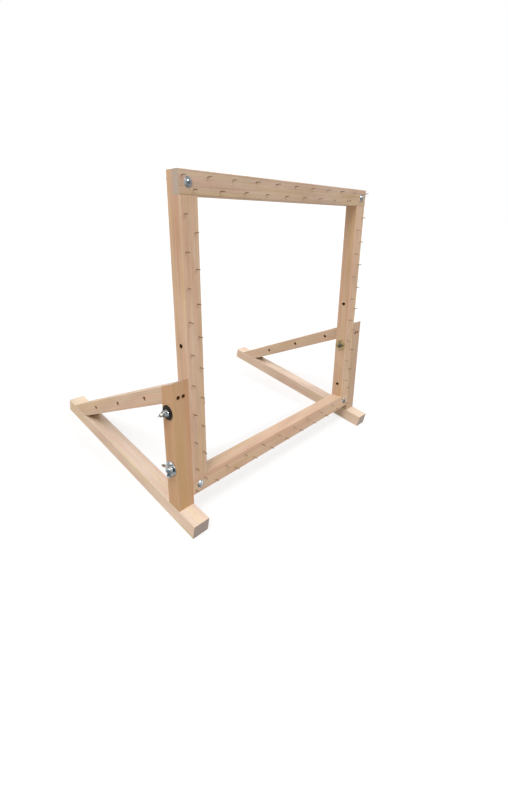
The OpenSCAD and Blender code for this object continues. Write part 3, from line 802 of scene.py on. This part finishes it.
big_nut = winged_head(STAND_SPAN, STAND_D, True)
big_screw_head = winged_head(STAND_SPAN, STAND_D, False)
big_screw_rod = threaded_rod(STAND_D, STAND_PITCH, SCREW_LEN, SCREW_THREAD_FROM, SCREW_LEN)
bolt_rod = threaded_rod(STAND_D, STAND_PITCH, STAND_LEN, STAND_THREAD_FROM, STAND_LEN)
bolt_head = hexagon_head(STAND_HEAD_W, STAND_HEAD_H)
inner_ring = stamped_ring(INNER_WASHER_D, HOLE_D, INNER_WASHER_T, 0.5)
disc_ring = stamped_ring(DISC_D, HOLE_D, DISC_T, 1.1)
lower_ring = stamped_ring(LOWER_WASHER_D, HOLE_D, LOWER_WASHER_T, 0.5)
bolt_rods, bolt_heads, inner_washers, discs, lower_washers = [], [], [], [], []
for side, name, upper_turn, lower_turn in ((-1, "left", 57, -50), (1, "right", -35, -20)):
    seat = stand_seat(side, STAND_OUT + DISC_T + SEAT_GAP, HOLE_HIGH, upper_turn)
    fit_turning(name + "_upper_wing_nut", [placed(big_nut, *seat)])
    seat = stand_seat(side, STAND_OUT + LOWER_WASHER_T + SEAT_GAP, HOLE_LOW, lower_turn)
    # The rod starts half a millimetre up in its head
    fit_turning(name + "_lower_wing_screw",
                [placed(big_screw_head, *seat), placed(big_screw_rod, *faced_back(seat, 0.5))])
    inner = stand_seat(side, POST_IN - INNER_WASHER_T, HOLE_HIGH)
    bolt_rods.append(placed(bolt_rod, *inner))
    bolt_heads.append(placed(bolt_head, *faced_back(inner)))
    inner_washers.append(placed(inner_ring, *faced_back(inner, INNER_WASHER_T)))
    discs.append(placed(disc_ring, *stand_seat(side, STAND_OUT, HOLE_HIGH)))
    lower_washers.append(placed(lower_ring, *stand_seat(side, STAND_OUT, HOLE_LOW)))
fit_fixed("upper_bolt_rods", bolt_rods, pale_zinc, "yellow_zinc", "upper_bolts", 30)
fit_fixed("upper_bolt_heads", bolt_heads, shaded_head_zinc, "yellow_zinc", "upper_bolts", 30)
fit_fixed("inner_flat_washers", inner_washers, yellow_zinc, "yellow_zinc", "inner_washers")
fit_fixed("moulded_discs", discs, rubber, "black_rubber", "black_discs")
fit_fixed("lower_flat_washers", lower_washers, bright_zinc, "zinc_steel", "lower_washers")

brace_screws, foot_screws = [], []
for side in (-1, 1):
    for x in (side * STAND_X - SCREW_GAP / 2, side * STAND_X + SCREW_GAP / 2):
        brace_screws.append(placed(cross_screw(BRACE_SCREW_LEN), leaned(x, WOOD_SINK, BRACE_MID_H), ACROSS,
                                   -UPWARD, BACKWARD))
        for y, length in ((UPRIGHT_FOOT_Y, FOOT_SCREW_LEN), (BRACE_FOOT[1], BRACE_FOOT_SCREW_LEN)):
            foot_screws.append(placed(cross_screw(length), [x, y, WOOD_SINK], ACROSS, [0, 1, 0], -FLOORWARD))
fit_fixed("brace_cross_screws", brace_screws, dark_steel, "dark_screws", "brace_screws")
fit_fixed("foot_cross_screws", foot_screws, dark_steel, "dark_screws", "foot_screws")

inserts = nodes["threaded_inserts"].data
inserts.materials.clear()
inserts.materials.append(yellow_zinc)


# Floor, world and lamps


def seen_plainly(tree):
    """1 for rays from the camera, gloss or glass, and 0 for the light that surfaces get."""
    rays = add(tree, "LightPath").outputs
    seen = add(tree, "Math", {0: rays["Is Camera Ray"], 1: rays["Is Glossy Ray"]}, operation="MAXIMUM")
    return add(tree, "Math", {0: seen.outputs["Value"], 1: rays["Is Transmission Ray"]},
               operation="MAXIMUM").outputs["Value"]


def place_floor():
    """A plain pale floor: white to the camera and to gloss, with the object's own soft shadow left in. What
    it throws back up on the object is a dull warm grey, as from a room's floor."""
    material, tree, shader = new_finish("pale_studio_floor")
    seen = seen_plainly(tree)
    base = add(tree, "Mix", {"Factor": seen, "A": colour("#b3aa9f"), "B": colour("#ffffff")},
               data_type="RGBA")
    tree.links.new(base.outputs["Result"], shader.inputs["Base Color"])
    shader.inputs["Roughness"].default_value = 0.9
    share = add(tree, "Math", {0: seen, 1: 0.7}, operation="MULTIPLY")
    white = add(tree, "Emission", {"Color": colour("#ffffff"), "Strength": 1.0})
    mixed = add(tree, "MixShader", {0: share.outputs["Value"], 1: shader.outputs["BSDF"],
                                    2: white.outputs["Emission"]})
    tree.links.new(mixed.outputs["Shader"], tree.nodes["Material Output"].inputs["Surface"])
    mesh = bpy.data.meshes.new("floor")
    half, under = 14, -0.0002
    mesh.from_pydata([(-half, -half, under), (half, -half, under), (half, half, under), (-half, half, under)],
                     [], [(0, 1, 2, 3)])
    mesh.materials.append(material)
    floor = bpy.data.objects.new("floor", mesh)
    bpy.context.scene.collection.objects.link(floor)


def light_world(strength):
    """Even pale light from all round; the camera, gloss and glass see plain white."""
    world = bpy.data.worlds.new("studio")
    world.use_nodes = True
    bpy.context.scene.world = world
    tree = world.node_tree
    level = add(tree, "MapRange", {"Value": seen_plainly(tree), "To Min": strength, "To Max": 1.0})
    back = tree.nodes["Background"]
    back.inputs["Color"].default_value = colour("#ffffff")
    tree.links.new(level.outputs["Result"], back.inputs["Strength"])


def soft_lamp(name, way, strength, softness, code="#ffffff"):
    """A distant lamp whose light comes from a direction and fills an angle of softness degrees."""
    data = bpy.data.lights.new(name, "SUN")
    data.energy = strength
    data.angle = math.radians(softness)
    data.color = colour(code)[:3]
    lamp = bpy.data.objects.new(name, data)
    bpy.context.scene.collection.objects.link(lamp)
    lamp.rotation_mode = "QUATERNION"
    lamp.rotation_quaternion = Vector(way).to_track_quat("Z", "Y")


place_floor()
light_world(0.12)
soft_lamp("overhead", (-0.5, 0.0, 1), 2.45, 36, "#faf6f6")
soft_lamp("from_left", (-1, -0.05, 0.45), 0.7, 60, "#fff0de")
soft_lamp("from_the_front", (0.15, -0.8, 0.75), 1.25, 6)
soft_lamp("from_behind", (0.8, 0.8, 0.5), 0.9, 60)

bpy.context.scene.view_settings.view_transform = "Standard"
